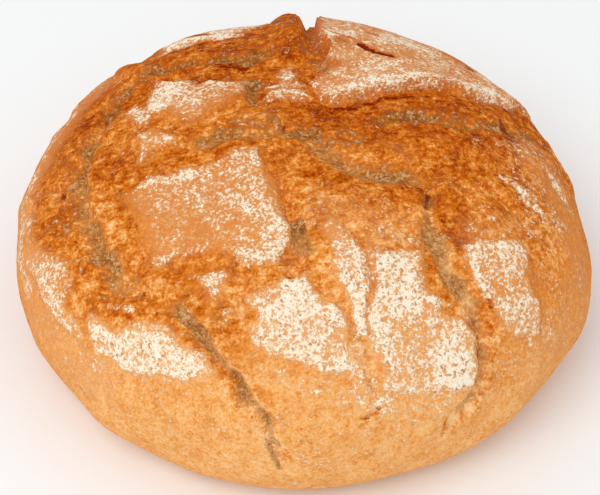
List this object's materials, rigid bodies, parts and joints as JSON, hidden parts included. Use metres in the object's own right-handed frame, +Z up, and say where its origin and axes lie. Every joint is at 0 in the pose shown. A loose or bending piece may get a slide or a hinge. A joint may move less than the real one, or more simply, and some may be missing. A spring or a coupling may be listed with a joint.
{
  "type": "spelt sourdough loaf",
  "caption": "Whole round spelt sourdough loaf with a floury, cracked and torn crust on top, smooth lower sides and a flat sole to stand on.",
  "frame": {"origin": "under the middle of the loaf, on the surface that it stands on", "axes": "+Z up through the crown, -Y towards the front, +X to the right seen from the front"},
  "size_m": [0.2464, 0.2368, 0.101],
  "materials": {
    "baked_crust": "matt baked crust, dusted with flour"
  },
  "bodies": {
    "root": {"loaf": "baked_crust"}
  },
  "joints": []
}
